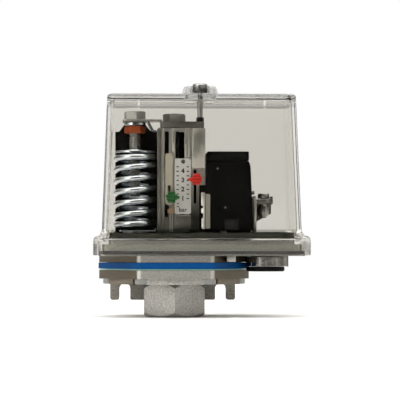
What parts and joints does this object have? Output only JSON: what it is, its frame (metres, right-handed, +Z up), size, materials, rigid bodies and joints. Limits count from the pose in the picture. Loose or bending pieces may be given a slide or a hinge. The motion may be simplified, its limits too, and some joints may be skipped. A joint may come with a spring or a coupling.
{
  "type": "pressure switch",
  "caption": "Diaphragm pressure switch with clear hood, range and differential springs, scale with pointers, contact block, hexagonal pressure port and slotted wall lugs.",
  "frame": {"origin": "centre of the object's box in plan, level with the mouth of the pressure port", "axes": "+Z up towards the hood, +Y to the rear and the wall, +X right towards the cable gland"},
  "size_m": [0.108, 0.066, 0.1185],
  "materials": {
    "cast_alloy": "raw sand-grained casting",
    "membrane": "matt",
    "blue_ring": "satin paint",
    "zinc_steel": "zinc plated",
    "bright_steel": "bright drawn",
    "frame_steel": "satin",
    "dark_steel": "dull grey",
    "orange_copper": "passivated copper tone",
    "rubber": "matt",
    "black_plastic": "moulded, slightly satin",
    "scale_white": "printed plate",
    "beige_plastic": "satin",
    "red_plastic": "satin",
    "green_plastic": "satin",
    "clear_plastic": "clear moulded"
  },
  "bodies": {
    "base": {"pressure_port": "cast_alloy", "diaphragm": "membrane", "spacer_ring": "blue_ring", "base_casting": "cast_alloy", "flange_bolt_1": "zinc_steel", "flange_bolt_2": "zinc_steel", "flange_bolt_3": "zinc_steel", "flange_bolt_4": "zinc_steel", "flange_bolt_5": "zinc_steel", "flange_bolt_6": "zinc_steel", "cover_gasket": "rubber", "spring_frame": "frame_steel", "frame_top_plate": "dark_steel", "top_strap": "frame_steel", "back_shield": "black_plastic", "frame_screw_1": "zinc_steel", "frame_screw_2": "zinc_steel", "scale_plate": "scale_white", "scale_rivet": "dark_steel", "slider_rail": "beige_plastic", "rail_stop": "orange_copper", "main_spring": "bright_steel", "differential_spring": "zinc_steel", "lever_pivot_pin": "zinc_steel", "contact_block_housing": "black_plastic", "contact_block_cap": "black_plastic", "contact_strip": "bright_steel", "terminal_screw_1": "zinc_steel", "terminal_screw_2": "zinc_steel", "terminal_screw_3": "zinc_steel", "earth_bracket": "dark_steel", "earth_washer": "zinc_steel", "gland_body": "dark_steel", "gland_seal": "rubber", "gland_locknut": "zinc_steel"},
    "hood": {"cover": "clear_plastic"},
    "hood_screw": {"cover_screw": "zinc_steel", "screw_retainer": "dark_steel"},
    "range_screw": {"main_adjusting_screw": "zinc_steel", "main_collar": "bright_steel", "main_lock_nut": "orange_copper"},
    "range_plate": {"main_spring_plate": "bright_steel"},
    "range_pointer": {"red_pointer": "red_plastic"},
    "fine_screw": {"differential_screw": "zinc_steel"},
    "fine_plate": {"differential_plate": "frame_steel"},
    "fine_pointer": {"green_pointer": "green_plastic"},
    "lever": {"rocker_lever": "dark_steel", "main_spring_tray": "bright_steel"},
    "plunger": {"plunger": "zinc_steel", "diaphragm_plate": "zinc_steel"},
    "switch_plunger": {"switch_plunger": "beige_plastic"},
    "earth_screw": {"earth_screw": "zinc_steel"},
    "gland_nut": {"gland_nut": "black_plastic"}
  },
  "joints": [
    {"name": "hood_lift", "type": "slide", "parent": "base", "child": "hood", "axis": [0, 0, 1], "range_m": [0, 0.09]},
    {"name": "hood_screw_turn", "type": "hinge", "parent": "hood", "child": "hood_screw", "pos_m": [0, 0, 0.1185], "axis": [0, 0, 1], "continuous": true},
    {"name": "range_screw_turn", "type": "hinge", "parent": "base", "child": "range_screw", "pos_m": [-0.0332, 0, 0.096], "axis": [0, 0, 1], "range_deg": [-2700, 1440]},
    {"name": "range_plate_travel", "type": "slide", "parent": "base", "child": "range_plate", "axis": [0, 0, 1], "range_m": [-0.004, 0.0075], "deforming": ["main_spring"]},
    {"name": "range_pointer_travel", "type": "slide", "parent": "base", "child": "range_pointer", "axis": [0, 0, 1], "range_m": [-0.0075, 0.004]},
    {"name": "fine_screw_turn", "type": "hinge", "parent": "base", "child": "fine_screw", "pos_m": [-0.0132, 0, 0.0985], "axis": [0, 0, 1], "range_deg": [-648, 1800]},
    {"name": "fine_plate_travel", "type": "slide", "parent": "base", "child": "fine_plate", "axis": [0, 0, 1], "range_m": [-0.005, 0.0018], "deforming": ["differential_spring"]},
    {"name": "fine_pointer_travel", "type": "slide", "parent": "base", "child": "fine_pointer", "axis": [0, 0, 1], "range_m": [-0.0018, 0.005]},
    {"name": "lever_tilt", "type": "hinge", "parent": "base", "child": "lever", "pos_m": [0.0015, 0, 0.0391], "axis": [0, 1, 0], "range_deg": [0, 1.5]},
    {"name": "plunger_lift", "type": "slide", "parent": "base", "child": "plunger", "axis": [0, 0, 1], "range_m": [0, 0.0004]},
    {"name": "switch_plunger_drop", "type": "slide", "parent": "base", "child": "switch_plunger", "axis": [0, 0, -1], "range_m": [0, 0.0003]},
    {"name": "earth_screw_turn", "type": "hinge", "parent": "base", "child": "earth_screw", "pos_m": [0.0324, 0, 0.0598], "axis": [0, 0, 1], "continuous": true},
    {"name": "gland_nut_turn", "type": "hinge", "parent": "base", "child": "gland_nut", "pos_m": [0.0328, -0.008, 0.024], "axis": [0, 0, 1], "continuous": true}
  ],
  "couplings": [
    {"joint": "range_plate_travel", "follows": "range_screw_turn", "m_per_rad": -0.00015915},
    {"joint": "range_pointer_travel", "follows": "range_screw_turn", "m_per_rad": 0.00015915},
    {"joint": "fine_plate_travel", "follows": "fine_screw_turn", "m_per_rad": -0.00015915},
    {"joint": "fine_pointer_travel", "follows": "fine_screw_turn", "m_per_rad": 0.00015915},
    {"joint": "plunger_lift", "follows": "lever_tilt", "m_per_rad": 0.0147},
    {"joint": "switch_plunger_drop", "follows": "lever_tilt", "m_per_rad": 0.0105}
  ]
}
